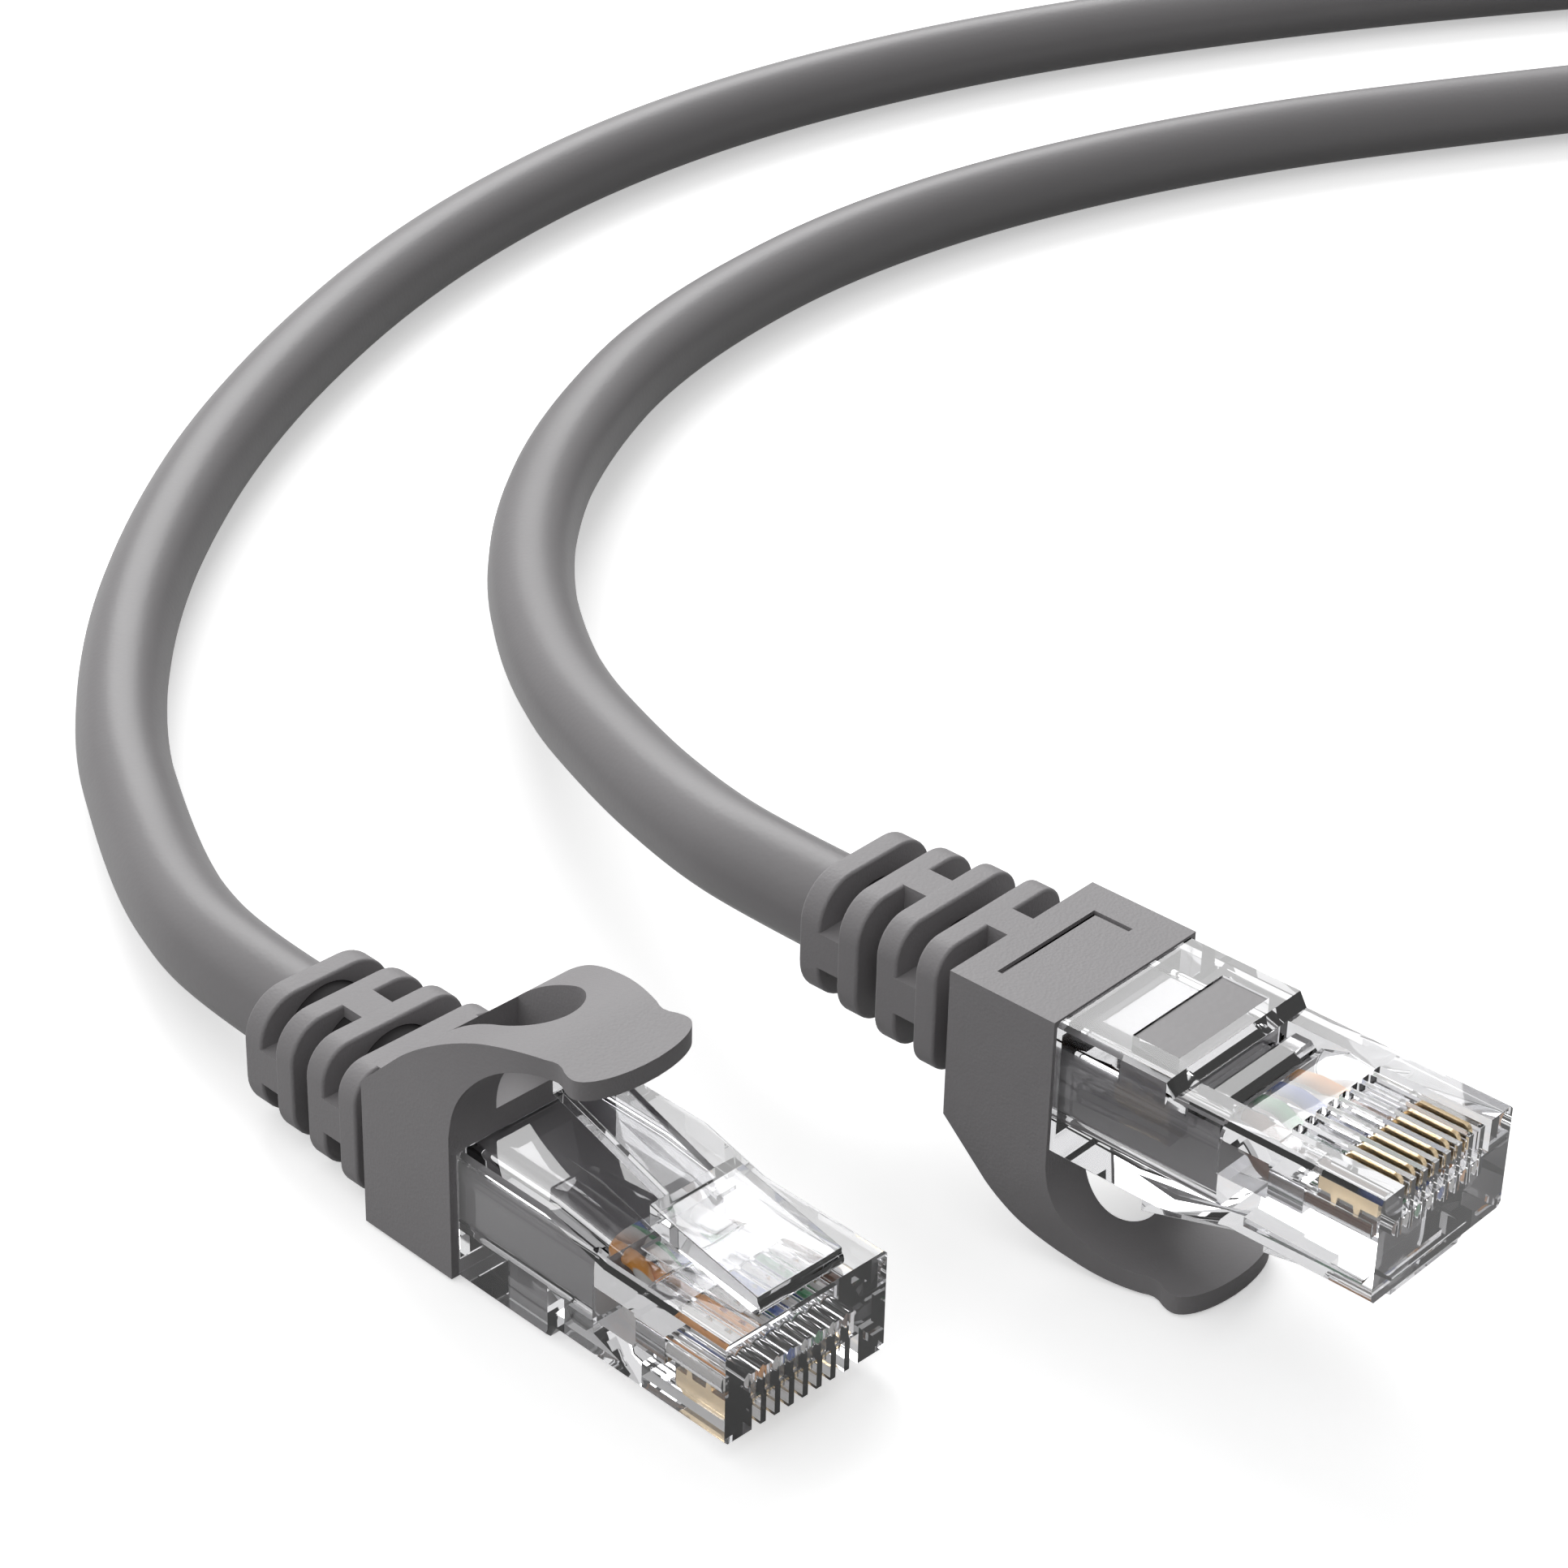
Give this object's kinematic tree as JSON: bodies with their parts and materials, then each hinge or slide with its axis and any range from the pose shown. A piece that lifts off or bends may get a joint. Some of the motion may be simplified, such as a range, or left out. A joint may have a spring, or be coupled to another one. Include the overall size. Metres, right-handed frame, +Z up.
{
  "type": "ethernet patch cable",
  "caption": "Grey network patch cable with a clear modular plug, ribbed boot and snag guard hook at each end; latches and hooks flex.",
  "frame": {"origin": "centre of plug A's footprint on the surface it lies on", "axes": "+X along plug A towards its nose, +Y across it, +Z up; plug B lies beside it at positive Y with its contacts up"},
  "size_m": [0.1585, 0.2914, 0.0162],
  "materials": {
    "clear_housing": "clear polycarbonate, moulded smooth",
    "clear_latch": "clear polycarbonate, moulded smooth",
    "clear_bar": "clear polycarbonate",
    "clear_clamp": "clear polycarbonate",
    "contact_gold": "gold plated, polished",
    "jacket_grey": "satin extruded PVC",
    "boot_grey": "fine grained moulded PVC",
    "tie_black": "matt",
    "wire_white_orange": "polished insulation",
    "wire_orange": "polished insulation",
    "wire_white_green": "polished insulation",
    "wire_blue": "polished insulation",
    "wire_white_blue": "polished insulation",
    "wire_green": "polished insulation",
    "wire_white_brown": "polished insulation",
    "wire_brown": "polished insulation"
  },
  "bodies": {
    "cord_body": {"plug_a_housing": "clear_housing", "plug_a_contacts": "contact_gold", "plug_a_load_bar": "clear_bar", "plug_a_jacket_clamp": "clear_clamp", "plug_a_jacket_end": "jacket_grey", "plug_a_boot": "boot_grey", "plug_a_wire_white_orange": "wire_white_orange", "plug_a_wire_orange": "wire_orange", "plug_a_wire_white_green": "wire_white_green", "plug_a_wire_blue": "wire_blue", "plug_a_wire_white_blue": "wire_white_blue", "plug_a_wire_green": "wire_green", "plug_a_wire_white_brown": "wire_white_brown", "plug_a_wire_brown": "wire_brown", "plug_b_housing": "clear_housing", "plug_b_contacts": "contact_gold", "plug_b_load_bar": "clear_bar", "plug_b_jacket_clamp": "clear_clamp", "plug_b_jacket_end": "jacket_grey", "plug_b_boot": "boot_grey", "plug_b_wire_white_orange": "wire_white_orange", "plug_b_wire_orange": "wire_orange", "plug_b_wire_white_green": "wire_white_green", "plug_b_wire_blue": "wire_blue", "plug_b_wire_white_blue": "wire_white_blue", "plug_b_wire_green": "wire_green", "plug_b_wire_white_brown": "wire_white_brown", "plug_b_wire_brown": "wire_brown", "cord_stretch_a": "jacket_grey", "cord_coil": "jacket_grey", "cord_stretch_b": "jacket_grey", "coil_ties": "tie_black"},
    "hook_a": {"plug_a_hook": "boot_grey"},
    "latch_a": {"plug_a_latch": "clear_latch"},
    "hook_b": {"plug_b_hook": "boot_grey"},
    "latch_b": {"plug_b_latch": "clear_latch"}
  },
  "joints": [
    {"name": "hook_a_flex", "type": "hinge", "parent": "cord_body", "child": "hook_a", "pos_m": [-0.00315, 0, 0.0101], "axis": [0, 1, 0], "range_deg": [0, 24], "stiffness_Nm_per_rad": 0.08},
    {"name": "latch_a_flex", "type": "hinge", "parent": "cord_body", "child": "latch_a", "pos_m": [0.01915, 0, 0.00805], "axis": [0, -1, 0], "range_deg": [0, 9]},
    {"name": "hook_b_flex", "type": "hinge", "parent": "cord_body", "child": "hook_b", "pos_m": [0.01768, 0.02377, 0.0061], "axis": [0.0529, -0.9986, 0], "range_deg": [0, 24], "stiffness_Nm_per_rad": 0.08},
    {"name": "latch_b_flex", "type": "hinge", "parent": "cord_body", "child": "latch_b", "pos_m": [0.03995, 0.02495, 0.00815], "axis": [-0.0529, 0.9986, 0], "range_deg": [0, 9]}
  ],
  "couplings": [
    {"joint": "latch_a_flex", "follows": "hook_a_flex", "ratio": 0.375},
    {"joint": "latch_b_flex", "follows": "hook_b_flex", "ratio": 0.375}
  ]
}
